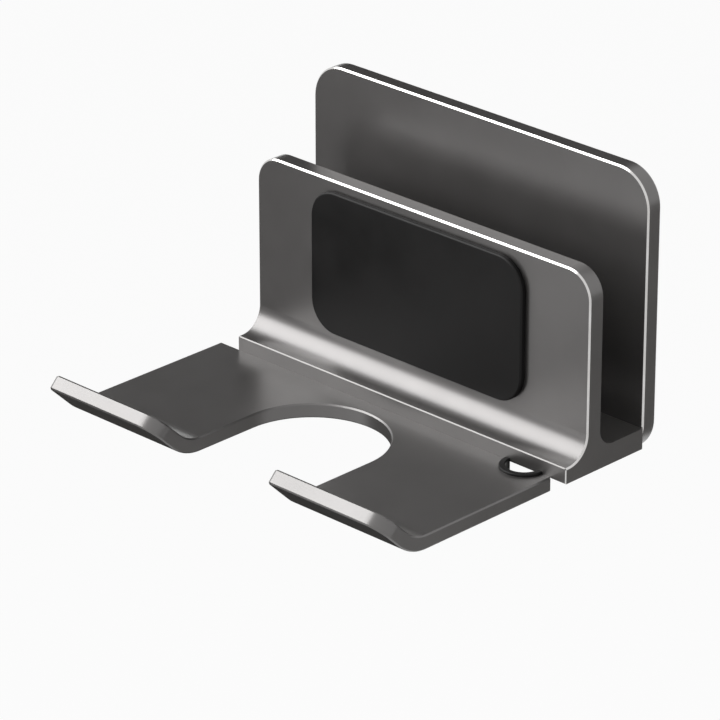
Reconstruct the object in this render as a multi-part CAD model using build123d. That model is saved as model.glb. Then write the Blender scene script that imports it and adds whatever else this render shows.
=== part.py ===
from build123d import *
import math
import os

os.makedirs("parts", exist_ok=True)

# Hair dryer holder, millimetres. +X right along the wall, +Y into the wall, +Z up.
# Origin: centre of the wall plate's back face, which is also the centre of the wall-screw pattern.

# wall plate
PLATE_W = 140.0
PLATE_H = 93.5
PLATE_T = 6.0
PLATE_R = 12.0
PLATE_CHAMFER = 0.5
PLATE_BACK_R = 1.2

# hanger bracket: base, upright and foot in one casting
BRACKET_W = 140.0
BASE_RISE = 4.0            # base underside above the wall plate's lower edge
BASE_T = 6.9
CHANNEL_DEPTH = 19.6       # clear space between the wall plate and the upright
CHANNEL_R = 6.0
UPRIGHT_T = 5.7
UPRIGHT_H = 65.0           # above the base underside
UPRIGHT_R = 9.0
FOOT_REACH = 9.4           # foot in front of the upright
FOOT_T = 5.2
FOOT_FILLET = 8.0
POLISHED_CHAMFER = 0.5
EDGE_BREAK = 0.3

# fork plate
FORK_T = 4.85
FORK_W = 142.1
FORK_OFFSET = -7.15        # fork centre left of the bracket centre
FORK_REBATE = 0.35         # depth the tongue sits up into the base
TONGUE_W = 96.0
TONGUE_REACH = 26.0        # behind the foot's front face
GAP_W = 49.2
GAP_CENTRE = 30.3          # centre of the gap's round end, in front of the foot
BEND_START = 53.4          # in front of the foot
BEND_R = 12.0
LIP_ANGLE = 44.0
LIP_REACH = 12.3
LIP_LEFT_R = 2.0           # left corner of each lip
LIP_RIGHT_R = 6.5          # right corner of each lip
FORK_CHAMFER = 0.45

# cord notch and its liner
NOTCH_X = 53.0
NOTCH_R = 6.8
LINER_T = 1.2
LINER_BEAD = 0.9           # stands above and below the fork plate
LINER_FLANGE = 0.8         # overlaps the plate outside the notch

# back pad
PAD_W = 89.0
PAD_H = 47.8
PAD_T = 1.8
PAD_R = 10.0
PAD_EDGE_R = 1.1
PAD_DROP = 3.1             # below the upright's top edge
TAPE_T = 0.25
TAPE_INSET = 2.0

# wall cleat
CLEAT_W = 90.0
CLEAT_T = 1.5
CLEAT_HALF_H = 22.0
CLEAT_FORWARD = 3.6        # depth of the joggle and the bottom flange
TONGUE_UP = 4.8            # hook height above the web
POCKET_EXTRA_D = 0.3
POCKET_SIDE = 0.4
HOOK_PLAY = 0.1
CLEAT_HOLE_X = 70.0
CLEAT_HOLE_Z = 24.0
WALL_SCREW_R = 2.25        # clearance for 4 mm wall screws

# screws
M4_R = 2.0
M4_CLEAR = 0.25
THREAD_CLEAR = 0.03
M4_HEAD_R = 3.8
M4_HEAD_H = 2.2
M4_RECESS = 0.3
M4_SOCKET_AF = 2.5
M4_SOCKET_D = 1.3
BRACKET_SCREW_L = 16.0
BRACKET_SCREW_XS = (-55.0, -20.0, 20.0, 55.0)
FORK_SCREW_L = 10.0
FORK_SCREW_XS = (-40.0, -14.0, 14.0, 40.0)
FORK_SCREW_Y = 14.5        # behind the foot's front face
M3_R = 1.5
M3_SOCKET_AF = 1.5
M3_SOCKET_D = 2.0
GRUB_L = 12.0
GRUB_X = 37.5

# levels and depths that follow from the sizes above
BASE_Z = -PLATE_H / 2 + BASE_RISE
PLATE_FRONT = -PLATE_T
UPRIGHT_BACK = PLATE_FRONT - CHANNEL_DEPTH
UPRIGHT_FRONT = UPRIGHT_BACK - UPRIGHT_T
FOOT_FRONT = UPRIGHT_FRONT - FOOT_REACH
FORK_TOP = BASE_Z + FORK_REBATE
FORK_UNDER = FORK_TOP - FORK_T
BEND_Y = FOOT_FRONT - BEND_START
POCKET_D = CLEAT_FORWARD + POCKET_EXTRA_D
HOOK_TOP = CLEAT_HALF_H + TONGUE_UP
FLANGE_Z = -CLEAT_HALF_H - CLEAT_T
POCKET_BOTTOM = FLANGE_Z - TONGUE_UP - 0.7
GRUB_Y = -(POCKET_D - M3_R - 0.1)
BASE_MID_Z = BASE_Z + BASE_T / 2


def block(x0, x1, y0, y1, z0, z1):
    """Box between six planes."""
    size = Box(x1 - x0, y1 - y0, z1 - z0)
    return Pos((x0 + x1) / 2, (y0 + y1) / 2, (z0 + z1) / 2) * size


def rod(radius, length, start, direction):
    """Cylinder of a length from a start point along a direction."""
    return extrude(Plane(origin=start, z_dir=direction) * Circle(radius), length)


def countersunk_screw(length, head_face, direction):
    """Countersunk M4 screw with a hex socket, its head's flat face at a point."""
    axis = Plane(origin=head_face, z_dir=direction)
    profile = Polyline((0, 0), (M4_HEAD_R, 0), (M4_HEAD_R, 0.3), (M4_R, M4_HEAD_H),
                       (M4_R, length - 0.5), (M4_R - 0.5, length), (0, length), close=True)
    body = revolve(Plane.XZ * make_face(profile), Axis.Z)
    socket = extrude(RegularPolygon(M4_SOCKET_AF / 2, 6, major_radius=False), M4_SOCKET_D)
    return axis * (body - socket)


def countersunk_hole(depth, recess, head_face, direction, clear):
    """Clearance hole with a countersink and a shallow recess above the head."""
    axis = Plane(origin=head_face, z_dir=direction)
    top = M4_HEAD_R + clear
    profile = Polyline((0, -recess - 0.5), (top, -recess - 0.5), (top, 0.3), (M4_R + clear, M4_HEAD_H),
                       (M4_R + clear, depth), (0, depth), close=True)
    return axis * revolve(Plane.XZ * make_face(profile), Axis.Z)


def rounded_slab(width, height, radius, y_back, thickness, z_mid=0.0, x_mid=0.0):
    """Rounded rectangle facing -Y, from a back plane forward."""
    face = Plane(origin=(x_mid, y_back, z_mid), x_dir=(1, 0, 0), z_dir=(0, -1, 0))
    return extrude(face * RectangleRounded(width, height, radius), thickness)


def wall_plate():
    """Plate with a pocket for the cleat, countersinks for the bracket and two grub-screw holes."""
    plate = rounded_slab(PLATE_W, PLATE_H, PLATE_R, 0, PLATE_T)
    plate = chamfer(plate.faces().sort_by(Axis.Y)[0].edges(), PLATE_CHAMFER)
    plate = fillet(plate.faces().sort_by(Axis.Y)[-1].edges(), PLATE_BACK_R)
    half = CLEAT_W / 2 + POCKET_SIDE
    plate -= block(-half, half, -POCKET_D, 1, POCKET_BOTTOM, CLEAT_HALF_H + 0.2)
    plate -= block(-half, half, -POCKET_D, -CLEAT_T - HOOK_PLAY, 0, HOOK_TOP)
    for x in BRACKET_SCREW_XS:
        plate -= countersunk_hole(PLATE_T + 1, M4_RECESS, (x, -M4_RECESS, BASE_MID_Z),
                                  (0, -1, 0), M4_CLEAR)
    for x in (-GRUB_X, GRUB_X):
        plate -= rod(M3_R + THREAD_CLEAR, PLATE_H / 2 + POCKET_BOTTOM + 2,
                     (x, GRUB_Y, -PLATE_H / 2 - 1), (0, 0, 1))
    return plate


def wall_cleat():
    """Joggled sheet-steel cleat: web on the wall, hook at the top, flange at the bottom."""
    front = -CLEAT_FORWARD
    hook_back = front + CLEAT_FORWARD - CLEAT_T - 2 * HOOK_PLAY
    points = [(0, FLANGE_Z), (front, FLANGE_Z), (front, FLANGE_Z + CLEAT_T), (-CLEAT_T, -CLEAT_HALF_H),
              (-CLEAT_T, CLEAT_HALF_H - CLEAT_T), (front, CLEAT_HALF_H - CLEAT_T), (front, HOOK_TOP),
              (hook_back, HOOK_TOP), (hook_back, CLEAT_HALF_H), (0, CLEAT_HALF_H)]
    cleat = extrude(Plane.YZ * make_face(Polyline(points, close=True)), CLEAT_W / 2, both=True)
    ends = cleat.edges().filter_by(Axis.Y).group_by(Axis.Z)
    cleat = fillet(ends[-1], 2.0)
    for x in (-CLEAT_HOLE_X / 2, CLEAT_HOLE_X / 2):
        for z in (-CLEAT_HOLE_Z / 2, CLEAT_HOLE_Z / 2):
            cleat -= rod(WALL_SCREW_R, CLEAT_T + 2, (x, 1, z), (0, -1, 0))
    return cleat


def grub_screws():
    """Two socket grub screws that lift the plate's pocket off the cleat's flange."""
    screws = []
    for x in (-GRUB_X, GRUB_X):
        screw = rod(M3_R, GRUB_L, (x, GRUB_Y, FLANGE_Z - GRUB_L), (0, 0, 1))
        screw = chamfer(screw.edges().filter_by(GeomType.CIRCLE), 0.35)
        floor = Plane(origin=(x, GRUB_Y, FLANGE_Z - GRUB_L), z_dir=(0, 0, 1))
        screws.append(screw - extrude(floor * RegularPolygon(M3_SOCKET_AF / 2, 6, major_radius=False),
                                      M3_SOCKET_D))
    return screws


def bracket_profile():
    """Side outline of base, channel, upright, fillet and foot, in the YZ plane."""
    top = BASE_Z + UPRIGHT_H
    floor = BASE_Z + BASE_T
    foot = BASE_Z + FOOT_T
    k = math.sqrt(0.5)
    fy, fz = UPRIGHT_FRONT - FOOT_FILLET, foot + FOOT_FILLET
    cy, cz = UPRIGHT_BACK + CHANNEL_R, floor + CHANNEL_R
    outline = [
        Polyline((PLATE_FRONT, floor), (PLATE_FRONT, BASE_Z), (FOOT_FRONT, BASE_Z),
                 (FOOT_FRONT, foot), (fy, foot)),
        ThreePointArc((fy, foot), (fy + FOOT_FILLET * k, fz - FOOT_FILLET * k), (UPRIGHT_FRONT, fz)),
        Polyline((UPRIGHT_FRONT, fz), (UPRIGHT_FRONT, top), (UPRIGHT_BACK, top), (UPRIGHT_BACK, cz)),
        ThreePointArc((UPRIGHT_BACK, cz), (cy - CHANNEL_R * k, cz - CHANNEL_R * k), (cy, floor)),
        Line((cy, floor), (PLATE_FRONT, floor)),
    ]
    return make_face(outline)


def is_front_edge(edge):
    """True for the outline of the bracket's front surfaces, where the polished chamfer runs."""
    box = edge.bounding_box()
    on_front = box.max.Y < UPRIGHT_FRONT + 0.01
    ends = abs(abs(box.center().X) - BRACKET_W / 2) < 0.01 and box.size.X < 0.01
    above_foot = box.min.Z > BASE_Z + FOOT_T - 0.01 and box.min.Y > FOOT_FRONT - 0.01
    top = box.min.Z > BASE_Z + UPRIGHT_H - UPRIGHT_R - 0.01
    return on_front and ((ends and above_foot and box.size.Z + box.size.Y > 0.2) or top)


def hanger_bracket():
    """Base, upright and foot with rounded top corners, polished front edges and screw holes."""
    body = extrude(Plane.YZ * bracket_profile(), BRACKET_W / 2, both=True)
    corners = body.edges().filter_by(Axis.Y).group_by(Axis.Z)[-1]
    body = fillet(corners, UPRIGHT_R)
    body = chamfer([e for e in body.edges() if is_front_edge(e)], POLISHED_CHAMFER)
    foot_face = body.faces().filter_by(Axis.Y).sort_by(Axis.Y)[0]
    body = chamfer(foot_face.edges(), EDGE_BREAK)
    half = TONGUE_W / 2 + 0.2
    body -= block(FORK_OFFSET - half, FORK_OFFSET + half, FOOT_FRONT - 1,
                  FOOT_FRONT + TONGUE_REACH + 0.2, BASE_Z - 1, FORK_TOP)
    for x in BRACKET_SCREW_XS:
        body -= rod(M4_R + THREAD_CLEAR, BRACKET_SCREW_L - PLATE_T + 1.5,
                    (x, PLATE_FRONT, BASE_MID_Z), (0, -1, 0))
    for x in FORK_SCREW_XS:
        body -= rod(M4_R + THREAD_CLEAR, FORK_SCREW_L - FORK_T + 0.8,
                    (FORK_OFFSET + x, FOOT_FRONT + FORK_SCREW_Y, FORK_TOP), (0, 0, 1))
    return body


def bracket_screws():
    """Countersunk screws from the back of the wall plate into the bracket's base."""
    return [countersunk_screw(BRACKET_SCREW_L, (x, -M4_RECESS, BASE_MID_Z), (0, -1, 0))
            for x in BRACKET_SCREW_XS]


def fork_profile():
    """Side outline of the bent plate: flat, bend and raised lip, in the YZ plane."""
    a = math.radians(LIP_ANGLE)
    back = FOOT_FRONT + TONGUE_REACH
    cz = FORK_TOP + BEND_R

    def at(radius, angle):
        return BEND_Y - radius * math.sin(angle), cz - radius * math.cos(angle)

    def lip(point):
        return point[0] - LIP_REACH * math.cos(a), point[1] + LIP_REACH * math.sin(a)

    inner, outer = at(BEND_R, a), at(BEND_R + FORK_T, a)
    outline = [
        Polyline((BEND_Y, FORK_UNDER), (back, FORK_UNDER), (back, FORK_TOP), (BEND_Y, FORK_TOP)),
        ThreePointArc((BEND_Y, FORK_TOP), at(BEND_R, a / 2), inner),
        Polyline(inner, lip(inner), lip(outer), outer),
        ThreePointArc(outer, at(BEND_R + FORK_T, a / 2), (BEND_Y, FORK_UNDER)),
    ]
    return make_face(outline)


def notch_cutter(radius):
    """Half-round cutter at the fork plate's rear edge."""
    low = FORK_UNDER - 3
    return (rod(radius, FORK_T + 6, (NOTCH_X, FOOT_FRONT, low), (0, 0, 1))
            + block(NOTCH_X - radius, NOTCH_X + radius, FOOT_FRONT, FOOT_FRONT + 2, low, low + FORK_T + 6))


def fork_plate():
    """Bent plate with two arms, a gap for the dryer's handle, a cord notch and a screwed tongue."""
    left, right = FORK_OFFSET - FORK_W / 2, FORK_OFFSET + FORK_W / 2
    plate = Pos(FORK_OFFSET, 0, 0) * extrude(Plane.YZ * fork_profile(), FORK_W / 2, both=True)
    low, high = FORK_UNDER - 5, FORK_TOP + 30
    for x0, x1 in ((left - 1, FORK_OFFSET - TONGUE_W / 2), (FORK_OFFSET + TONGUE_W / 2, right + 1)):
        plate -= block(x0, x1, FOOT_FRONT, FOOT_FRONT + TONGUE_REACH + 1, low, high)
    gap_y = FOOT_FRONT - GAP_CENTRE
    plate -= block(FORK_OFFSET - GAP_W / 2, FORK_OFFSET + GAP_W / 2, BEND_Y - 60, gap_y, low, high)
    plate -= rod(GAP_W / 2, high - low, (FORK_OFFSET, gap_y, low), (0, 0, 1))
    plate -= notch_cutter(NOTCH_R)
    a = math.radians(LIP_ANGLE)
    lip_normal = Vector(0, math.sin(a), math.cos(a))
    corners = [e for e in plate.edges()
               if e.geom_type == GeomType.LINE and e.center().Y < BEND_Y - (BEND_R + FORK_T) * math.sin(a)
               and abs(e.tangent_at(0.5).dot(lip_normal)) > 0.999]
    lefts = (left, FORK_OFFSET + GAP_W / 2)
    on_left = [e for e in corners if min(abs(e.center().X - x) for x in lefts) < 0.01]
    on_right = [e for e in corners if e not in on_left]
    plate = fillet(on_left, LIP_LEFT_R)
    plate = fillet([e for e in plate.edges() if any(same_edge(e, f) for f in on_right)], LIP_RIGHT_R)
    plate = chamfer(fork_outline(plate), FORK_CHAMFER)
    for x in FORK_SCREW_XS:
        plate -= countersunk_hole(FORK_T + 1, M4_RECESS,
                                  (FORK_OFFSET + x, FOOT_FRONT + FORK_SCREW_Y, FORK_UNDER + M4_RECESS),
                                  (0, 0, 1), M4_CLEAR)
    return plate


def same_edge(edge, other):
    """True for the same edge before and after a change elsewhere on the piece."""
    return (edge.center() - other.center()).length < 0.001 and abs(edge.length - other.length) < 0.001


def fork_outline(plate):
    """Edges round the arms and lips on both faces, in front of the rear edge."""
    chosen = []
    for e in plate.edges():
        box = e.bounding_box()
        if box.max.Y > FOOT_FRONT - 0.01 or abs(box.size.X) < 0.001 and box.size.Y < 0.001:
            continue
        along_x = e.geom_type == GeomType.LINE and box.size.Y < 0.001 and box.size.Z < 0.001
        across_bend = along_x and box.min.Y > BEND_Y - (BEND_R + FORK_T) - 1 and is_seam(box)
        thick = e.geom_type == GeomType.LINE and abs(box.size.X) < 0.001 and abs(e.length - FORK_T) < 0.01
        if not across_bend and not thick:
            chosen.append(e)
    return chosen


def is_seam(box):
    """True where a flat meets the bend, which is a smooth joint and not an edge."""
    a = math.radians(LIP_ANGLE)
    seams = [BEND_Y] + [BEND_Y - r * math.sin(a) for r in (BEND_R, BEND_R + FORK_T)]
    return any(abs(box.center().Y - y) < 0.01 for y in seams)


def fork_screws():
    """Countersunk screws up through the tongue into the base."""
    return [countersunk_screw(FORK_SCREW_L,
                              (FORK_OFFSET + x, FOOT_FRONT + FORK_SCREW_Y, FORK_UNDER + M4_RECESS),
                              (0, 0, 1)) for x in FORK_SCREW_XS]


def notch_liner():
    """U-shaped rubber liner that grips the notch's edge from above and below."""
    low, high = FORK_UNDER - LINER_BEAD, FORK_TOP + LINER_BEAD
    outer = NOTCH_R + LINER_FLANGE
    inner = NOTCH_R - LINER_T
    ring = rod(outer, high - low, (NOTCH_X, FOOT_FRONT, low), (0, 0, 1))
    ring -= rod(inner, high - low, (NOTCH_X, FOOT_FRONT, low), (0, 0, 1))
    groove = rod(outer + 1, FORK_T, (NOTCH_X, FOOT_FRONT, FORK_UNDER), (0, 0, 1))
    groove -= rod(NOTCH_R, FORK_T, (NOTCH_X, FOOT_FRONT, FORK_UNDER), (0, 0, 1))
    liner = ring - groove
    rims = [e for e in liner.edges() if e.geom_type == GeomType.CIRCLE
            and min(abs(e.center().Z - low), abs(e.center().Z - high)) < 0.01]
    liner = fillet(rims, 0.4)
    return liner - block(NOTCH_X - 20, NOTCH_X + 20, FOOT_FRONT, FOOT_FRONT + 20, low - 1, high + 1)


def pad_middle():
    """Height of the back pad's centre."""
    return BASE_Z + UPRIGHT_H - PAD_DROP - PAD_H / 2


def back_pad_tape():
    """Adhesive sheet between the pad and the upright."""
    return rounded_slab(PAD_W - 2 * TAPE_INSET, PAD_H - 2 * TAPE_INSET, PAD_R - TAPE_INSET,
                        UPRIGHT_FRONT, TAPE_T, pad_middle())


def back_pad():
    """Silicone pad with a rounded front edge."""
    pad = rounded_slab(PAD_W, PAD_H, PAD_R, UPRIGHT_FRONT - TAPE_T, PAD_T, pad_middle())
    return fillet(pad.faces().sort_by(Axis.Y)[0].edges(), PAD_EDGE_R)


def main():
    """Write one STEP file for each node."""
    nodes = {
        "wall_plate": wall_plate(),
        "wall_cleat": wall_cleat(),
        "cleat_grub_screws": Compound(children=grub_screws()),
        "hanger_bracket": hanger_bracket(),
        "bracket_screws": Compound(children=bracket_screws()),
        "fork_plate": fork_plate(),
        "fork_screws": Compound(children=fork_screws()),
        "notch_liner": notch_liner(),
        "back_pad": back_pad(),
        "back_pad_tape": back_pad_tape(),
    }
    for name, shape in nodes.items():
        export_step(shape, f"parts/{name}.step")


main()
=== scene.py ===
"""Looks of a wall-mounted hair dryer holder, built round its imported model.

The holder is a grey anodised aluminium plate hooked on a steel wall cleat, a bracket screwed to
the plate's front, and a bent fork plate under the bracket whose two arms carry a hair dryer by
its barrel. A silicone pad on the bracket and a rubber liner in the cord notch finish it.

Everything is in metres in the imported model's frame: +X right along the wall, +Y into the wall,
+Z up, with the origin at the centre of the wall plate's back face.
"""

import logging
import math
from dataclasses import dataclass
from enum import Enum
from typing import Callable, Iterable, Optional, Sequence, Union

import bmesh
import bpy
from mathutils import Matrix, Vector


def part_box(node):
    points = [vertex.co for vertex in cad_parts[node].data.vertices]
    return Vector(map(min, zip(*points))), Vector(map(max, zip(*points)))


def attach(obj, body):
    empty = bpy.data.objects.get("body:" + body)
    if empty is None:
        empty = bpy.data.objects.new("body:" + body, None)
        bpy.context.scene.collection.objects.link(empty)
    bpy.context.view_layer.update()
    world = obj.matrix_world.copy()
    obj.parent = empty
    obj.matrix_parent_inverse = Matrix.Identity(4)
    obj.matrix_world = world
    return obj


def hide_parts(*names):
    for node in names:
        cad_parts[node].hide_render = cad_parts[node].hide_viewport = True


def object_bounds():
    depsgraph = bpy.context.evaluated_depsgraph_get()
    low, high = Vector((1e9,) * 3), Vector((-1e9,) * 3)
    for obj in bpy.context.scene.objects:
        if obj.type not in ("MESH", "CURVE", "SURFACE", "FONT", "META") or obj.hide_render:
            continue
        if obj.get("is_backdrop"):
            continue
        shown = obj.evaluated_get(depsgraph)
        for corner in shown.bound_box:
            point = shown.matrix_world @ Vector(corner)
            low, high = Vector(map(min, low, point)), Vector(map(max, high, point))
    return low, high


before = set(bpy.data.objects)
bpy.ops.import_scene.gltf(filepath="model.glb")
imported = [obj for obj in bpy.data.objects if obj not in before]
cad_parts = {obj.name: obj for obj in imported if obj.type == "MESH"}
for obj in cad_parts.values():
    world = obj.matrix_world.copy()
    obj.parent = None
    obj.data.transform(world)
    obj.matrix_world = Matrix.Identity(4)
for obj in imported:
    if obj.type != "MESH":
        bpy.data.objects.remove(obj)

LOG = logging.getLogger("dryer_holder")
CAD_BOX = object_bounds()
ROOT = "root"
MM = 0.001
WELD = 0.002 * MM

Socket = bpy.types.NodeSocket
Tree = bpy.types.NodeTree
Point = tuple[float, float, float]


# ---------------------------------------------------------------- small helpers

def linear(hex_colour: str) -> tuple[float, float, float, float]:
    """Turns an sRGB hex colour into a linear one.

    Args:
        hex_colour: Colour as "#rrggbb".

    Returns:
        Linear red, green and blue with an alpha of 1.
    """
    parts = [int(hex_colour[i:i + 2], 16) / 255 for i in (1, 3, 5)]
    red, green, blue = (p / 12.92 if p <= 0.04045 else ((p + 0.055) / 1.055) ** 2.4 for p in parts)
    return red, green, blue, 1.0


def add_node(tree: Tree, kind: str, inputs: Optional[dict] = None, **settings) -> bpy.types.Node:
    """Adds one node to a tree with its settings, values and links.

    Args:
        tree: Shader or geometry tree that gets the node.
        kind: Identifier of the node's type.
        inputs: A value, or a socket to link from, for each input name or index.
        **settings: Attributes set on the node itself.

    Returns:
        The new node.
    """
    node = tree.nodes.new(kind)
    for name, value in settings.items():
        setattr(node, name, value)
    for name, value in (inputs or {}).items():
        if isinstance(value, Socket):
            tree.links.new(value, node.inputs[name])
        else:
            node.inputs[name].default_value = value
    return node


def new_object(name: str, mesh: bpy.types.Mesh) -> bpy.types.Object:
    """Puts a mesh in the scene as an object at the origin.

    Args:
        name: Name of the object.
        mesh: Its mesh.

    Returns:
        The new object.
    """
    obj = bpy.data.objects.new(name, mesh)
    bpy.context.scene.collection.objects.link(obj)
    return obj


def mesh_from(name: str, build: Callable[[bmesh.types.BMesh], None]) -> bpy.types.Mesh:
    """Makes a mesh from a bmesh recipe, with its normals pointing outwards.

    Args:
        name: Name of the mesh.
        build: Function that fills the bmesh.

    Returns:
        The finished mesh.
    """
    shape = bmesh.new()
    build(shape)
    bmesh.ops.recalc_face_normals(shape, faces=shape.faces)
    mesh = bpy.data.meshes.new(name)
    shape.to_mesh(mesh)
    shape.free()
    return mesh


def skin(shape: bmesh.types.BMesh, loops: Sequence[Sequence[Point]]) -> None:
    """Joins closed loops of points into a skin with both ends capped.

    Args:
        shape: The bmesh that gets the faces.
        loops: Loops with the same number of points, in order along the piece.
    """
    rings = [[shape.verts.new(p) for p in loop] for loop in loops]
    for low, high in zip(rings, rings[1:]):
        for i, vert in enumerate(low):
            j = (i + 1) % len(low)
            shape.faces.new((vert, low[j], high[j], high[i]))
    shape.faces.new(list(reversed(rings[0])))
    shape.faces.new(rings[-1])


def smooth(obj: bpy.types.Object, angle: float = 32.0) -> None:
    """Shades an object smooth, except along its sharp edges.

    Args:
        obj: The object.
        angle: Bend in degrees from which an edge stays sharp.
    """
    mesh = obj.data
    mesh.shade_smooth()
    mesh.set_sharp_from_angle(angle=math.radians(angle))


def arc(centre: tuple[float, float], radius: float, start: float, end: float,
        steps: int) -> list[tuple[float, float]]:
    """Points on a flat arc.

    Args:
        centre: Centre of the arc.
        radius: Radius.
        start: First angle in degrees.
        end: Last angle in degrees.
        steps: Number of pieces the arc is cut into.

    Returns:
        The points, both ends included.
    """
    turns = [math.radians(start + (end - start) * i / steps) for i in range(steps + 1)]
    return [(centre[0] + radius * math.cos(t), centre[1] + radius * math.sin(t)) for t in turns]


def rounded_rectangle(width: float, height: float, radius: float,
                      steps: int = 14) -> list[tuple[float, float]]:
    """Outline of a rounded rectangle about the origin, anticlockwise.

    Args:
        width: Whole width.
        height: Whole height.
        radius: Corner radius.
        steps: Pieces in each corner.

    Returns:
        The outline's points.
    """
    x, z = width / 2 - radius, height / 2 - radius
    corners = ((x, z, 0), (-x, z, 90), (-x, -z, 180), (x, -z, 270))
    points: list[tuple[float, float]] = []
    for cx, cz, turn in corners:
        points += arc((cx, cz), radius, turn, turn + 90, steps)
    return points


def solid_boxes(node: str) -> list[tuple[Vector, Vector]]:
    """Boxes of the separate solids in a CAD node, from left to right.

    Args:
        node: Name of the CAD node.

    Returns:
        Lowest and highest corner of each solid.
    """
    shape = bmesh.new()
    shape.from_mesh(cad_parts[node].data)
    bmesh.ops.remove_doubles(shape, verts=shape.verts, dist=WELD)
    left = set(shape.verts)
    boxes = []
    while left:
        group, edge = set(), [left.pop()]
        while edge:
            vert = edge.pop()
            group.add(vert)
            near = {link.other_vert(vert) for link in vert.link_edges} & left
            left -= near
            edge.extend(near)
        corners = [v.co for v in group]
        low = Vector(min(c[i] for c in corners) for i in range(3))
        high = Vector(max(c[i] for c in corners) for i in range(3))
        boxes.append((low, high))
    shape.free()
    return sorted(boxes, key=lambda box: box[0].x)


# ---------------------------------------------------------------- finishes

@dataclass(frozen=True)
class Finish:
    """A surface finish: a named procedural material made once."""

    name: str

    def make(self) -> bpy.types.Material:
        """Gives the material, building it the first time.

        Returns:
            The material.
        """
        found = bpy.data.materials.get(self.name)
        if found:
            return found
        material = bpy.data.materials.new(self.name)
        material.use_nodes = True
        tree = material.node_tree
        tree.nodes.clear()
        shader = add_node(tree, "ShaderNodeBsdfPrincipled")
        add_node(tree, "ShaderNodeOutputMaterial", {"Surface": shader.outputs["BSDF"]})
        place = add_node(tree, "ShaderNodeTexCoord").outputs["Object"]
        self.paint(tree, shader, place)
        return material

    def paint(self, tree: Tree, shader: bpy.types.Node, place: Socket) -> None:
        """Fills in the shader. Each finish has its own.

        Args:
            tree: The material's tree.
            shader: Its principled shader.
            place: Where the patterns are read.
        """
        raise NotImplementedError

    def noise(self, tree: Tree, place: Socket, grain: float, detail: float = 2.0) -> Socket:
        """Soft noise from 0 to 1.

        Args:
            tree: The material's tree.
            place: Where the pattern is read.
            grain: Real size of one spot in millimetres.
            detail: How many finer layers are added.

        Returns:
            The noise's value.
        """
        node = add_node(tree, "ShaderNodeTexNoise",
                        {"Vector": place, "Scale": 1 / (grain * MM), "Detail": detail})
        return node.outputs["Fac"]

    def between(self, tree: Tree, value: Socket, low: float, high: float,
                span: tuple[float, float] = (0.3, 0.7)) -> Socket:
        """Maps a pattern onto a range of numbers.

        Args:
            tree: The material's tree.
            value: The pattern.
            low: Result at the span's start.
            high: Result at the span's end.
            span: Part of the pattern's range that is used.

        Returns:
            The mapped value.
        """
        node = add_node(tree, "ShaderNodeMapRange",
                        {"Value": value, "From Min": span[0], "From Max": span[1],
                         "To Min": low, "To Max": high})
        return node.outputs["Result"]

    def blend(self, tree: Tree, value: Socket, low: str, high: str,
              span: tuple[float, float] = (0.3, 0.7)) -> Socket:
        """Blends two hex colours by a pattern.

        Args:
            tree: The material's tree.
            value: The pattern.
            low: Colour at the span's start.
            high: Colour at the span's end.
            span: Part of the pattern's range that is used.

        Returns:
            The colour.
        """
        node = add_node(tree, "ShaderNodeValToRGB", {"Fac": value})
        ramp = node.color_ramp
        ramp.elements[0].position, ramp.elements[1].position = span
        ramp.elements[0].color, ramp.elements[1].color = linear(low), linear(high)
        return node.outputs["Color"]

    def raised(self, tree: Tree, height: Socket, depth: float,
               normal: Optional[Socket] = None) -> Socket:
        """Turns a height pattern into relief.

        Args:
            tree: The material's tree.
            height: The pattern, 0 to 1.
            depth: Depth of the relief in millimetres.
            normal: Relief that this one is laid on.

        Returns:
            The bent normal.
        """
        inputs = {"Height": height, "Distance": depth * MM, "Strength": 1.0}
        if normal is not None:
            inputs["Normal"] = normal
        return add_node(tree, "ShaderNodeBump", inputs).outputs["Normal"]


@dataclass(frozen=True)
class BlastedAluminium(Finish):
    """Aluminium, bead blasted and dyed grey in the anodising bath.

    The dimpled metal mirrors broadly and softly, and the clear oxide film over it adds a thin,
    crisper sheen. A dense grain of tiny dimples shows at the edge of a highlight.
    """

    light: str = "#636160"
    dark: str = "#5d5b5a"
    metallic: float = 0.7
    roughness: float = 0.38
    gloss_swing: float = 0.015
    grain_swing: float = 0.02
    dimple_depth: float = 0.0015
    film: float = 0.8
    film_roughness: float = 0.28
    film_ior: float = 1.6

    def paint(self, tree: Tree, shader: bpy.types.Node, place: Socket) -> None:
        """Grey metal with faint clouding, uneven gloss and blasted grain.

        Args:
            tree: The material's tree.
            shader: Its principled shader.
            place: Where the patterns are read.
        """
        clouds = self.noise(tree, place, grain=22.0, detail=3.0)
        # beads leave dimples of about 0.05 mm: drawn six times coarser, so that they show
        grain = self.noise(tree, place, grain=0.3, detail=1.0)
        sheen = self.noise(tree, place, grain=9.0, detail=2.0)
        gloss = add_node(tree, "ShaderNodeMath",
                         {0: self.between(tree, sheen, -self.gloss_swing, self.gloss_swing),
                          1: self.between(tree, grain, self.roughness - self.grain_swing,
                                          self.roughness + self.grain_swing)}, operation="ADD")
        shader.inputs["Metallic"].default_value = self.metallic
        tree.links.new(self.blend(tree, clouds, self.dark, self.light), shader.inputs["Base Color"])
        tree.links.new(gloss.outputs[0], shader.inputs["Roughness"])
        tree.links.new(self.raised(tree, grain, self.dimple_depth), shader.inputs["Normal"])
        shader.inputs["Coat Weight"].default_value = self.film
        shader.inputs["Coat Roughness"].default_value = self.film_roughness
        shader.inputs["Coat IOR"].default_value = self.film_ior


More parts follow.
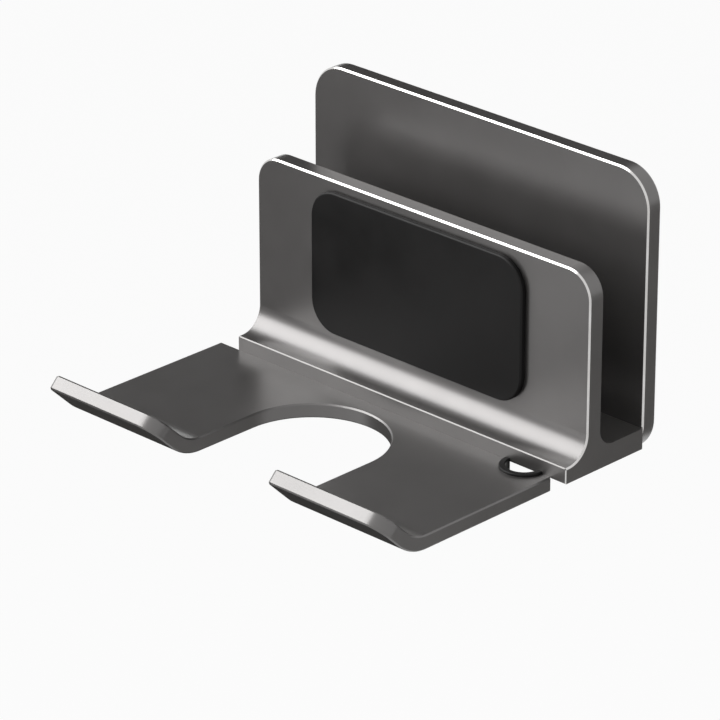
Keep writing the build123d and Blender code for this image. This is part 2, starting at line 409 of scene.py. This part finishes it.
@dataclass(frozen=True)
class CutAluminium(Finish):
    """Aluminium cut by a diamond tool after anodising.

    The cut bares bright metal in a narrow mirror-like band with hardly visible tool marks.
    """

    light: str = "#d0cfce"
    dark: str = "#c4c2c0"
    roughness: float = 0.16

    def paint(self, tree: Tree, shader: bpy.types.Node, place: Socket) -> None:
        """Bright metal with fine tool marks.

        Args:
            tree: The material's tree.
            shader: Its principled shader.
            place: Where the patterns are read.
        """
        # the tool's feed is about 0.05 mm: drawn at 0.25 mm, so that it shows
        marks = self.noise(tree, place, grain=0.25, detail=0.0)
        clouds = self.noise(tree, place, grain=6.0)
        shader.inputs["Metallic"].default_value = 1.0
        tree.links.new(self.blend(tree, clouds, self.dark, self.light), shader.inputs["Base Color"])
        tree.links.new(self.between(tree, marks, self.roughness - 0.03, self.roughness + 0.03),
                       shader.inputs["Roughness"])
        tree.links.new(self.raised(tree, marks, 0.0004), shader.inputs["Normal"])


@dataclass(frozen=True)
class MouldedSilicone(Finish):
    """Black silicone rubber from an eroded mould.

    Nearly black and dull, with a fine even grain and a little dust that lifts the grey.
    """

    light: str = "#100f0f"
    dark: str = "#090808"
    roughness: float = 0.48

    def paint(self, tree: Tree, shader: bpy.types.Node, place: Socket) -> None:
        """Black rubber with moulded grain.

        Args:
            tree: The material's tree.
            shader: Its principled shader.
            place: Where the patterns are read.
        """
        # mould grain is about 0.1 mm: drawn at 0.35 mm, so that it shows
        grain = self.noise(tree, place, grain=0.35, detail=1.0)
        dust = self.noise(tree, place, grain=14.0, detail=4.0)
        tree.links.new(self.blend(tree, dust, self.dark, self.light, (0.35, 0.75)),
                       shader.inputs["Base Color"])
        tree.links.new(self.between(tree, dust, self.roughness - 0.05, self.roughness + 0.05),
                       shader.inputs["Roughness"])
        tree.links.new(self.raised(tree, grain, 0.006), shader.inputs["Normal"])
        shader.inputs["IOR"].default_value = 1.41
        shader.inputs["Specular IOR Level"].default_value = 0.3


@dataclass(frozen=True)
class TurnedSteel(Finish):
    """Stainless or blackened steel, turned on a lathe.

    Rings left by the tool run round each screw's own axis and catch the light as fine lines.
    """

    light: str = "#bdbab6"
    dark: str = "#a5a29e"
    roughness: float = 0.26

    def paint(self, tree: Tree, shader: bpy.types.Node, place: Socket) -> None:
        """Steel with turning marks read from each screw's own place.

        Args:
            tree: The material's tree.
            shader: Its principled shader.
            place: Where the patterns are read.
        """
        own = add_node(tree, "ShaderNodeAttribute", attribute_name=ScrewTree.OWN_PLACE)
        flat = add_node(tree, "ShaderNodeVectorMath",
                        {0: own.outputs["Vector"], 1: (1.0, 1.0, 0.0)}, operation="MULTIPLY")
        out = add_node(tree, "ShaderNodeVectorMath", {0: flat.outputs["Vector"]},
                       operation="LENGTH")
        # turning marks are about 0.08 mm apart: drawn at 0.3 mm, so that they show
        rings = add_node(tree, "ShaderNodeMath",
                         {0: out.outputs["Value"], 1: 2 * math.pi / (0.3 * MM)},
                         operation="MULTIPLY")
        wave = add_node(tree, "ShaderNodeMath", {0: rings.outputs[0]}, operation="SINE")
        marks = self.between(tree, wave.outputs[0], 0.0, 1.0, (-1.0, 1.0))
        spots = self.noise(tree, place, grain=1.2, detail=3.0)
        shader.inputs["Metallic"].default_value = 1.0
        tree.links.new(self.blend(tree, spots, self.dark, self.light), shader.inputs["Base Color"])
        tree.links.new(self.between(tree, spots, self.roughness - 0.05, self.roughness + 0.07),
                       shader.inputs["Roughness"])
        tree.links.new(self.raised(tree, marks, 0.002), shader.inputs["Normal"])


@dataclass(frozen=True)
class ZincPlatedSteel(Finish):
    """Cold-rolled steel sheet, zinc plated and passivated.

    Pale blue-grey and satin, with rolling lines along the sheet and faint cloudy patches.
    """

    light: str = "#b9bcbf"
    dark: str = "#a3a6a8"
    roughness: float = 0.36

    def paint(self, tree: Tree, shader: bpy.types.Node, place: Socket) -> None:
        """Zinc with clouds and rolling lines.

        Args:
            tree: The material's tree.
            shader: Its principled shader.
            place: Where the patterns are read.
        """
        patches = self.noise(tree, place, grain=7.0, detail=4.0)
        along = add_node(tree, "ShaderNodeMapping", {"Vector": place, "Scale": (0.03, 1.0, 1.0)})
        # rolling lines are about 0.1 mm apart: drawn at 0.4 mm, so that they show
        lines = self.noise(tree, along.outputs["Vector"], grain=0.4, detail=1.0)
        shader.inputs["Metallic"].default_value = 1.0
        tree.links.new(self.blend(tree, patches, self.dark, self.light),
                       shader.inputs["Base Color"])
        tree.links.new(self.between(tree, patches, self.roughness - 0.06, self.roughness + 0.06),
                       shader.inputs["Roughness"])
        tree.links.new(self.raised(tree, lines, 0.003), shader.inputs["Normal"])


@dataclass(frozen=True)
class AcrylicTape(Finish):
    """Grey acrylic foam tape with adhesive on both sides.

    Soft grey and slightly glossy, with tiny closed bubbles.
    """

    light: str = "#8b8a87"
    dark: str = "#7a7976"
    roughness: float = 0.45

    def paint(self, tree: Tree, shader: bpy.types.Node, place: Socket) -> None:
        """Grey foam with bubbles.

        Args:
            tree: The material's tree.
            shader: Its principled shader.
            place: Where the patterns are read.
        """
        bubbles = self.noise(tree, place, grain=0.5, detail=1.0)
        tree.links.new(self.blend(tree, bubbles, self.dark, self.light),
                       shader.inputs["Base Color"])
        tree.links.new(self.raised(tree, bubbles, 0.01), shader.inputs["Normal"])
        shader.inputs["Roughness"].default_value = self.roughness


GREY = BlastedAluminium("aluminium_bead_blasted_grey_anodised")
BRIGHT = CutAluminium("aluminium_diamond_cut_bare")
RUBBER = MouldedSilicone("silicone_rubber_black_moulded")


# ---------------------------------------------------------------- CAD pieces that keep their mesh

def dress(node: str, finish: Finish) -> bpy.types.Object:
    """Gives a CAD node one finish all over and keeps its mesh.

    Args:
        node: Name of the CAD node.
        finish: The finish.

    Returns:
        The node's object.
    """
    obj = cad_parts[node]
    obj.data.materials.clear()
    obj.data.materials.append(finish.make())
    for face in obj.data.polygons:
        face.material_index = 0
    return obj


def slanted(part: float) -> bool:
    """True for the part of a normal that a chamfer's face has towards either side."""
    return 0.6 < part < 0.8


def polish(obj: bpy.types.Object, is_cut: Callable[[Vector, Vector], bool]) -> int:
    """Gives the bright finish to the faces that were cut after anodising.

    Args:
        obj: A dressed CAD object.
        is_cut: Says from a face's centre and normal whether it was cut.

    Returns:
        How many faces were cut.
    """
    obj.data.materials.append(BRIGHT.make())
    count = 0
    for face in obj.data.polygons:
        if is_cut(face.center, face.normal):
            face.material_index = 1
            count += 1
    return count


@dataclass
class WallPlate:
    """The plate against the wall and the steel cleat it hooks on."""

    chamfer: float = 0.5 * MM
    front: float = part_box("wall_plate")[0].y

    def is_cut(self, centre: Vector, normal: Vector) -> bool:
        """Finds the chamfer round the plate's front edge.

        Args:
            centre: Centre of a face.
            normal: Its normal.

        Returns:
            True if the face is on the chamfer.
        """
        return slanted(-normal.y) and centre.y < self.front + self.chamfer

    def build(self) -> Iterable[bpy.types.Object]:
        """Dresses the plate and the cleat.

        Returns:
            The finished pieces.
        """
        plate = dress("wall_plate", GREY)
        LOG.info("wall plate: %d cut faces", polish(plate, self.is_cut))
        yield plate
        yield dress("wall_cleat", ZincPlatedSteel("steel_sheet_zinc_plated"))


@dataclass
class HangerBracket:
    """Base, channel, upright and foot in one casting, with bright front edges."""

    chamfer: float = 0.5 * MM
    upright_front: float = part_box("back_pad_tape")[1].y
    corner: float = 9.0 * MM
    box: tuple[Vector, Vector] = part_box("hanger_bracket")

    def is_cut(self, centre: Vector, normal: Vector) -> bool:
        """Finds the chamfer along the upright's top and sides and round the foot's fillet.

        Args:
            centre: Centre of a face.
            normal: Its normal.

        Returns:
            True if the face is on the chamfer.
        """
        low, high = self.box
        side = min(centre.x - low.x, high.x - centre.x)
        at_side = side < self.chamfer and slanted(abs(normal.x))
        at_front = centre.y < self.upright_front + self.chamfer
        at_top = high.z - centre.z < self.corner + self.chamfer and slanted(-normal.y)
        return at_front and (at_side or at_top)

    def build(self) -> Iterable[bpy.types.Object]:
        """Dresses the bracket.

        Returns:
            The finished pieces.
        """
        bracket = dress("hanger_bracket", GREY)
        LOG.info("hanger bracket: %d cut faces", polish(bracket, self.is_cut))
        yield bracket


@dataclass
class ForkPlate:
    """Bent plate with two arms and two upturned lips."""

    def build(self) -> Iterable[bpy.types.Object]:
        """Dresses the plate.

        Returns:
            The finished pieces.
        """
        yield dress("fork_plate", GREY)


# ---------------------------------------------------------------- rubber pieces

@dataclass
class BackPad:
    """Silicone pad on the upright's front and the tape that holds it."""

    radius: float = 10.0 * MM
    edge: float = 0.7 * MM
    back_edge: float = 0.15 * MM
    tape_radius: float = 8.0 * MM
    steps: int = 10

    def pad_loops(self) -> list[list[Point]]:
        """Loops of the pad from its back to its front face."""
        low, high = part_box("back_pad")
        width, height = high.x - low.x, high.z - low.z
        x, z = (low.x + high.x) / 2, (low.z + high.z) / 2
        rows = [(self.back_edge, high.y), (0.0, high.y - self.back_edge)]
        rows += [(self.edge - self.edge * math.cos(t), low.y + self.edge - self.edge * math.sin(t))
                 for t in (math.pi / 2 * i / self.steps for i in range(self.steps + 1))]
        return [[(x + px, y, z + pz) for px, pz in
                 rounded_rectangle(width - 2 * inset, height - 2 * inset, self.radius - inset)]
                for inset, y in rows]

    def tape_loops(self) -> list[list[Point]]:
        """Loops of the tape's two faces."""
        low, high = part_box("back_pad_tape")
        x, z = (low.x + high.x) / 2, (low.z + high.z) / 2
        outline = rounded_rectangle(high.x - low.x, high.z - low.z, self.tape_radius)
        return [[(x + px, y, z + pz) for px, pz in outline] for y in (high.y, low.y)]

    def build(self) -> Iterable[bpy.types.Object]:
        """Makes the pad and the tape.

        Returns:
            The finished pieces.
        """
        pieces = (("silicone_pad", "back_pad", "black_silicone", self.pad_loops(), RUBBER),
                  ("pad_tape", "back_pad_tape", "adhesive_tape", self.tape_loops(),
                   AcrylicTape("acrylic_foam_tape")))
        for name, node, slot, loops, finish in pieces:
            piece = new_object(name, mesh_from(name, lambda shape: skin(shape, loops)))
            piece.data.materials.append(finish.make())
            smooth(piece)
            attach(piece, ROOT)
            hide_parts(node)
            yield piece


@dataclass
class NotchLiner:
    """Rubber liner that grips the edge of the cord notch."""

    wall: float = 1.2 * MM
    bead: float = 0.9 * MM
    flange: float = 0.8 * MM
    rim: float = 0.4 * MM
    steps: int = 40
    rim_steps: int = 6

    def profile(self) -> list[tuple[float, float]]:
        """Section of the liner as radius and height, round the plate's edge."""
        low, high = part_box("notch_liner")
        outer = (high.x - low.x) / 2
        notch = outer - self.flange
        inner = notch - self.wall
        bottom, top = low.z + self.bead, high.z - self.bead
        rim, steps = self.rim, self.rim_steps
        section = arc((inner + rim, low.z + rim), rim, 180, 270, steps)
        section += arc((outer - rim, low.z + rim), rim, 270, 360, steps)
        section += [(outer, bottom), (notch, bottom), (notch, top), (outer, top)]
        section += arc((outer - rim, high.z - rim), rim, 0, 90, steps)
        section += arc((inner + rim, high.z - rim), rim, 90, 180, steps)
        return section

    def build(self) -> Iterable[bpy.types.Object]:
        """Sweeps the section round the notch.

        Returns:
            The finished pieces.
        """
        low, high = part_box("notch_liner")
        x, y = (low.x + high.x) / 2, high.y
        turns = [math.pi + math.pi * i / self.steps for i in range(self.steps + 1)]
        loops = [[(x + r * math.cos(t), y + r * math.sin(t), z) for r, z in self.profile()]
                 for t in turns]
        liner = new_object("rubber_liner", mesh_from("rubber_liner",
                                                     lambda shape: skin(shape, loops)))
        liner.data.materials.append(RUBBER.make())
        smooth(liner)
        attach(liner, ROOT)
        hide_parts("notch_liner")
        yield liner


# ---------------------------------------------------------------- screws

class Axis(Enum):
    """Direction from a screw's head to its tip."""

    FORWARD = (0.0, -1.0, 0.0)
    UP = (0.0, 0.0, 1.0)


@dataclass(frozen=True)
class ScrewTree:
    """Geometry nodes that lathe one socket screw and set it on every point of a mesh."""

    OWN_PLACE = "screw_place"
    INPUTS = ("Length", "Radius", "Head Radius", "Head Height", "Pitch", "Thread Depth",
              "Socket Width", "Socket Depth")
    around: int = 36
    rows: int = 150
    seed: int = 7
    point: float = 0.5 * MM
    thread_start: float = 0.1 * MM
    thread_full: float = 0.8 * MM
    head_rim: float = 0.3 * MM
    head_break: float = 0.12 * MM
    sharp_edge: float = 0.6

    def math(self, tree: Tree, operation: str, *values: Union[float, Socket]) -> Socket:
        """Adds a math node.

        Args:
            tree: The geometry tree.
            operation: What the node does.
            *values: Up to three numbers or sockets.

        Returns:
            The result.
        """
        node = add_node(tree, "ShaderNodeMath", dict(enumerate(values)), operation=operation)
        return node.outputs[0]

    def lathe(self, tree: Tree, size: dict[str, Socket]) -> Socket:
        """Makes a closed threaded body with its head's face at the origin.

        Args:
            tree: The geometry tree.
            size: The tree's size inputs by name.

        Returns:
            The body's mesh.
        """
        m = self.math
        grid = add_node(tree, "GeometryNodeMeshGrid", {"Size X": 1.0, "Size Y": 1.0,
                                                       "Vertices X": self.around + 1,
                                                       "Vertices Y": self.rows})
        spot = add_node(tree, "ShaderNodeSeparateXYZ",
                        {0: add_node(tree, "GeometryNodeInputPosition").outputs[0]})
        around = m(tree, "ADD", spot.outputs["X"], 0.5)
        row = m(tree, "MULTIPLY", m(tree, "ADD", spot.outputs["Y"], 0.5), self.rows - 1)
        down = add_node(tree, "ShaderNodeMapRange", {"Value": row, "From Min": 1.0,
                                                     "From Max": self.rows - 2.0})
        z = m(tree, "MULTIPLY", down.outputs["Result"], size["Length"])
        # the thread's ridge climbs one pitch each turn and fades in below the head
        turn = m(tree, "SUBTRACT", m(tree, "DIVIDE", z, size["Pitch"]), around)
        groove = m(tree, "MULTIPLY", m(tree, "PINGPONG", turn, 0.5), 2.0)
        fade = add_node(tree, "ShaderNodeMapRange",
                        {"Value": z,
                         "From Min": m(tree, "ADD", size["Head Height"], self.thread_start),
                         "From Max": m(tree, "ADD", size["Head Height"], self.thread_full)})
        cut = m(tree, "MULTIPLY", m(tree, "MULTIPLY", groove, size["Thread Depth"]),
                fade.outputs["Result"])
        left = m(tree, "SUBTRACT", size["Length"], z)
        tip = m(tree, "ADD", m(tree, "SUBTRACT", size["Radius"], self.point), left)
        shank = m(tree, "MINIMUM", m(tree, "SUBTRACT", size["Radius"], cut), tip)
        rise = m(tree, "SUBTRACT", size["Head Radius"], size["Radius"])
        slope = m(tree, "MULTIPLY", rise, add_node(
            tree, "ShaderNodeMapRange", {"Value": z, "From Min": self.head_rim,
                                         "From Max": size["Head Height"]}).outputs["Result"])
        cone = m(tree, "SUBTRACT", size["Head Radius"], slope)
        under = m(tree, "LESS_THAN", z, size["Head Height"])
        lead = m(tree, "ADD", m(tree, "SUBTRACT", size["Head Radius"], self.head_break), z)
        radius = m(tree, "MAXIMUM", shank, m(tree, "MULTIPLY", cone, under))
        radius = m(tree, "MINIMUM", radius, lead)
        inside = m(tree, "MULTIPLY", m(tree, "GREATER_THAN", row, 0.5),
                   m(tree, "LESS_THAN", row, self.rows - 1.5))
        radius = m(tree, "MULTIPLY", radius, inside)
        angle = m(tree, "MULTIPLY", around, 2 * math.pi)
        place = add_node(tree, "ShaderNodeCombineXYZ",
                         {"X": m(tree, "MULTIPLY", radius, m(tree, "COSINE", angle)),
                          "Y": m(tree, "MULTIPLY", radius, m(tree, "SINE", angle)), "Z": z})
        body = add_node(tree, "GeometryNodeSetPosition", {"Geometry": grid.outputs["Mesh"],
                                                          "Position": place.outputs[0]})
        return add_node(tree, "GeometryNodeMergeByDistance",
                        {"Geometry": body.outputs[0], "Distance": 0.001 * MM}).outputs[0]

    def socket(self, tree: Tree, size: dict[str, Socket]) -> Socket:
        """Makes the hexagonal key that cuts the socket.

        Args:
            tree: The geometry tree.
            size: The tree's size inputs by name.

        Returns:
            The key's mesh.
        """
        m = self.math
        corner = m(tree, "DIVIDE", size["Socket Width"], 2 * math.cos(math.pi / 6))
        return add_node(tree, "GeometryNodeMeshCylinder",
                        {"Vertices": 6, "Radius": corner,
                         "Depth": m(tree, "MULTIPLY", size["Socket Depth"], 2.0)}).outputs["Mesh"]

    def make(self, material: bpy.types.Material) -> Tree:
        """Builds the tree.

        Args:
            material: Finish set on the screws.

        Returns:
            The geometry tree, with its sizes as named inputs in metres.
        """
        tree = bpy.data.node_groups.new("socket_screws", "GeometryNodeTree")
        face = tree.interface
        face.new_socket("Geometry", in_out="INPUT", socket_type="NodeSocketGeometry")
        for name in self.INPUTS:
            face.new_socket(name, in_out="INPUT", socket_type="NodeSocketFloat")
        face.new_socket("Axis", in_out="INPUT", socket_type="NodeSocketVector")
        face.new_socket("Geometry", in_out="OUTPUT", socket_type="NodeSocketGeometry")
        given = add_node(tree, "NodeGroupInput")
        size = {name: given.outputs[name] for name in self.INPUTS}
        cut = add_node(tree, "GeometryNodeMeshBoolean",
                       {"Mesh 1": self.lathe(tree, size), "Mesh 2": self.socket(tree, size)},
                       operation="DIFFERENCE", solver="MANIFOLD")
        place = add_node(tree, "GeometryNodeInputPosition")
        known = add_node(tree, "GeometryNodeStoreNamedAttribute",
                         {"Geometry": cut.outputs["Mesh"], "Name": self.OWN_PLACE,
                          "Value": place.outputs[0]}, data_type="FLOAT_VECTOR", domain="POINT")
        bend = add_node(tree, "GeometryNodeInputMeshEdgeAngle")
        sharp = add_node(tree, "FunctionNodeCompare",
                         {0: bend.outputs["Unsigned Angle"], 1: self.sharp_edge},
                         operation="GREATER_THAN")
        faces = add_node(tree, "GeometryNodeSetShadeSmooth",
                         {"Geometry": known.outputs[0], "Shade Smooth": True}, domain="FACE")
        edges = add_node(tree, "GeometryNodeSetShadeSmooth",
                         {"Geometry": faces.outputs[0], "Selection": sharp.outputs[0],
                          "Shade Smooth": False}, domain="EDGE")
        aim = add_node(tree, "FunctionNodeAlignRotationToVector",
                       {"Vector": given.outputs["Axis"]}, axis="Z")
        stop = add_node(tree, "FunctionNodeRandomValue", {2: 0.0, 3: math.pi / 3,
                                                          "Seed": self.seed})
        spin = add_node(tree, "FunctionNodeAxisAngleToRotation",
                        {"Axis": (0.0, 0.0, 1.0), "Angle": stop.outputs[1]})
        turned = add_node(tree, "FunctionNodeRotateRotation",
                          {"Rotation": aim.outputs[0], "Rotate By": spin.outputs[0]},
                          rotation_space="LOCAL")
        rows = add_node(tree, "GeometryNodeInstanceOnPoints",
                        {"Points": given.outputs["Geometry"], "Instance": edges.outputs[0],
                         "Rotation": turned.outputs[0]})
        real = add_node(tree, "GeometryNodeRealizeInstances", {"Geometry": rows.outputs[0]})
        dressed = add_node(tree, "GeometryNodeSetMaterial",
                           {"Geometry": real.outputs[0], "Material": material})
        add_node(tree, "NodeGroupOutput", {0: dressed.outputs[0]})
        return tree


@dataclass
class Screws:
    """One set of socket screws that replaces a CAD node, sizes in metres."""

    name: str
    node: str
    slot: str
    finish: Finish
    axis: Axis
    radius: float = 2.0 * MM
    head_radius: float = 3.8 * MM
    head_height: float = 2.2 * MM
    pitch: float = 0.7 * MM
    thread_depth: float = 0.4 * MM
    socket_width: float = 2.5 * MM
    socket_depth: float = 1.3 * MM

    def heads(self) -> list[Vector]:
        """Centre of each screw's head face, from the CAD solids."""
        direction = Vector(self.axis.value)
        found = []
        for low, high in solid_boxes(self.node):
            middle = (low + high) / 2
            found.append(middle - direction * abs((high - low).dot(direction)) / 2)
        return found

    def length(self) -> float:
        """Length of the screws."""
        low, high = solid_boxes(self.node)[0]
        return abs((high - low).dot(Vector(self.axis.value)))

    def build(self) -> Iterable[bpy.types.Object]:
        """Sets the screws on their heads' points and makes them one plain mesh.

        Returns:
            The finished pieces.
        """
        mesh = bpy.data.meshes.new(self.name)
        mesh.from_pydata(self.heads(), [], [])
        piece = new_object(self.name, mesh)
        tree = ScrewTree().make(self.finish.make())
        modifier = piece.modifiers.new("screws", "NODES")
        modifier.node_group = tree
        values = {"Length": self.length(), "Radius": self.radius,
                  "Head Radius": self.head_radius, "Head Height": self.head_height,
                  "Pitch": self.pitch, "Thread Depth": self.thread_depth,
                  "Socket Width": self.socket_width, "Socket Depth": self.socket_depth,
                  "Axis": self.axis.value}
        for item in tree.interface.items_tree:
            if item.in_out == "INPUT" and item.name in values:
                modifier[item.identifier] = values[item.name]
        graph = bpy.context.evaluated_depsgraph_get()
        plain = bpy.data.meshes.new_from_object(piece.evaluated_get(graph),
                                                preserve_all_data_layers=True, depsgraph=graph)
        piece.modifiers.clear()
        piece.data = plain
        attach(piece, ROOT)
        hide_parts(self.node)
        yield piece


def screw_sets() -> list[Screws]:
    """The holder's three sets of screws."""
    stainless = TurnedSteel("stainless_steel_turned")
    black = TurnedSteel("steel_black_oxide_turned", light="#34312f", dark="#252322",
                        roughness=0.38)
    return [
        Screws("base_screws", "bracket_screws", "stainless_steel", stainless, Axis.FORWARD),
        Screws("tongue_screws", "fork_screws", "stainless_steel", stainless, Axis.UP),
        Screws("cleat_grubs", "cleat_grub_screws", "black_steel", black, Axis.UP,
               radius=1.5 * MM, head_radius=1.5 * MM, head_height=0.3 * MM, pitch=0.5 * MM,
               thread_depth=0.28 * MM, socket_width=1.5 * MM, socket_depth=2.0 * MM),
    ]


# ---------------------------------------------------------------- studio

@dataclass(frozen=True)
class Softbox:
    """A rectangular lamp turned towards the holder."""

    name: str
    direction: Point
    distance: float
    width: float
    height: float
    radiance: float
    spread: float = 180.0

    def place(self, target: Vector) -> bpy.types.Object:
        """Sets the lamp up facing a target.

        Args:
            target: Point that the lamp faces.

        Returns:
            The lamp.
        """
        lamp = bpy.data.lights.new(self.name, "AREA")
        lamp.shape = "RECTANGLE"
        lamp.size, lamp.size_y = self.width, self.height
        # an area lamp of this power glows at the given radiance
        lamp.energy = self.radiance * math.pi * self.width * self.height
        lamp.spread = math.radians(self.spread)
        obj = bpy.data.objects.new(self.name, lamp)
        bpy.context.scene.collection.objects.link(obj)
        direction = Vector(self.direction).normalized()
        obj.location = target + direction * self.distance
        obj.rotation_euler = direction.to_track_quat("Z", "Y").to_euler()
        return obj


@dataclass(frozen=True)
class Flag:
    """A felt panel that keeps white out of the flat faces' reflections."""

    name: str
    direction: Point
    distance: float
    width: float
    height: float
    colour: str

    def place(self, target: Vector) -> bpy.types.Object:
        """Hangs the panel facing a target, seen by mirrors and gloss only.

        Args:
            target: Point that the panel faces.

        Returns:
            The panel.
        """
        corners = [(x * self.width / 2, y * self.height / 2, 0.0)
                   for x, y in ((-1, -1), (1, -1), (1, 1), (-1, 1))]
        mesh = bpy.data.meshes.new(self.name)
        mesh.from_pydata(corners, [], [(0, 1, 2, 3)])
        obj = new_object(self.name, mesh)
        direction = Vector(self.direction).normalized()
        obj.location = target + direction * self.distance
        obj.rotation_euler = direction.to_track_quat("Z", "Y").to_euler()
        obj.visible_camera = obj.visible_diffuse = obj.visible_shadow = False
        felt = bpy.data.materials.new(self.name)
        felt.use_nodes = True
        felt.node_tree.nodes.clear()
        matt = add_node(felt.node_tree, "ShaderNodeBsdfDiffuse", {"Color": linear(self.colour)})
        add_node(felt.node_tree, "ShaderNodeOutputMaterial", {"Surface": matt.outputs[0]})
        mesh.materials.append(felt)
        obj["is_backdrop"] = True
        return obj


@dataclass
class Studio:
    """Floor, white surroundings, softboxes, flags and camera."""

    floor_drop: float = 0.90
    floor_size: float = 16.0
    floor_colour: str = "#f1f1f1"
    floor_white: float = 0.92
    ambient: float = 0.55
    camera_place: Point = (0.9019, -0.9801, 0.56435)
    azimuth: float = 44.333
    elevation: float = 24.312
    lens: float = 232.96
    sensor: float = 36.0
    far_end: float = 50.0
    boxes: tuple[Softbox, ...] = (
        Softbox("key_softbox", (-0.637, -0.50, 0.587), 0.95, 0.9, 0.95, 4.8),
    )
    flags: tuple[Flag, ...] = (
        Flag("low_flag", (-0.88, -0.34, -0.32), 0.56, 0.47, 0.38, "#1c1b1b"),
        Flag("back_flag", (-0.62, 0.62, 0.44), 0.45, 0.50, 0.34, "#161515"),
        Flag("side_flag", (0.55, 0.75, -0.37), 0.40, 0.30, 0.30, "#8c8b89"),
        Flag("under_flag", (-0.61, 0.19, -0.77), 0.26, 0.26, 0.36, "#3a3938"),
    )

    def seen(self, tree: Tree) -> Socket:
        """Tells what is looked at from what only fills the shadows.

        Args:
            tree: A material's or the world's tree.

        Returns:
            1 for rays from the camera, mirrors and glass, 0 for all others.
        """
        path = add_node(tree, "ShaderNodeLightPath")
        either = add_node(tree, "ShaderNodeMath", {0: path.outputs["Is Camera Ray"],
                                                   1: path.outputs["Is Glossy Ray"]},
                          operation="MAXIMUM")
        return add_node(tree, "ShaderNodeMath", {0: either.outputs[0],
                                                 1: path.outputs["Is Transmission Ray"]},
                        operation="MAXIMUM").outputs[0]

    def surroundings(self) -> None:
        """Makes the world white where it is seen and a softer white where it only fills."""
        world = bpy.data.worlds.new("studio")
        bpy.context.scene.world = world
        world.use_nodes = True
        tree = world.node_tree
        tree.nodes.clear()
        strength = add_node(tree, "ShaderNodeMapRange", {"Value": self.seen(tree),
                                                         "To Min": self.ambient, "To Max": 1.0})
        white = add_node(tree, "ShaderNodeBackground", {"Color": (1.0, 1.0, 1.0, 1.0),
                                                        "Strength": strength.outputs["Result"]})
        add_node(tree, "ShaderNodeOutputWorld", {"Surface": white.outputs[0]})

    def floor(self) -> None:
        """Lays a pale floor below the holder."""
        low, high = CAD_BOX
        middle = Vector(((low[0] + high[0]) / 2, (low[1] + high[1]) / 2,
                         low[2] - self.floor_drop))
        half = self.floor_size / 2
        mesh = mesh_from("floor", lambda shape: bmesh.ops.create_grid(
            shape, x_segments=1, y_segments=1, size=half))
        plane = new_object("floor", mesh)
        plane.location = middle
        material = bpy.data.materials.new("studio_floor")
        material.use_nodes = True
        tree = material.node_tree
        tree.nodes.clear()
        matt = add_node(tree, "ShaderNodeBsdfDiffuse", {"Color": linear(self.floor_colour)})
        glow = add_node(tree, "ShaderNodeEmission", {"Color": (1.0, 1.0, 1.0, 1.0),
                                                     "Strength": 1.0})
        share = add_node(tree, "ShaderNodeMapRange", {"Value": self.seen(tree), "To Min": 0.0,
                                                      "To Max": self.floor_white})
        mix = add_node(tree, "ShaderNodeMixShader", {0: share.outputs["Result"],
                                                     1: matt.outputs[0], 2: glow.outputs[0]})
        add_node(tree, "ShaderNodeOutputMaterial", {"Surface": mix.outputs[0]})
        mesh.materials.append(material)
        plane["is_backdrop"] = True

    def camera(self) -> None:
        """Sets up the camera."""
        lens = bpy.data.cameras.new("camera")
        lens.lens = self.lens
        lens.sensor_width = self.sensor
        lens.clip_end = self.far_end
        obj = bpy.data.objects.new("camera", lens)
        bpy.context.scene.collection.objects.link(obj)
        obj.location = self.camera_place
        obj.rotation_euler = (math.radians(90 - self.elevation), 0.0, math.radians(self.azimuth))
        bpy.context.scene.camera = obj

    def build(self) -> None:
        """Sets up everything that isn't the holder."""
        bpy.context.scene.view_settings.view_transform = "Standard"
        low, high = CAD_BOX
        middle = (Vector(low) + Vector(high)) / 2
        self.camera()
        self.surroundings()
        self.floor()
        for thing in (*self.boxes, *self.flags):
            thing.place(middle)


def main() -> None:
    """Builds the studio and every piece, and reports each one."""
    logging.basicConfig(level=logging.INFO, format="%(name)s: %(message)s")
    Studio().build()
    parts = [WallPlate(), HangerBracket(), ForkPlate(), BackPad(), NotchLiner(), *screw_sets()]
    for part in parts:
        for piece in part.build():
            LOG.info("%s: %s, %d faces", type(part).__name__, piece.name,
                     len(piece.data.polygons))
    bpy.context.view_layer.update()
    boxes = {"cad": CAD_BOX, "visual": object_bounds()}
    {name: [list(corner) for corner in box] for name, box in boxes.items()}


if __name__ == "__main__":
    main()
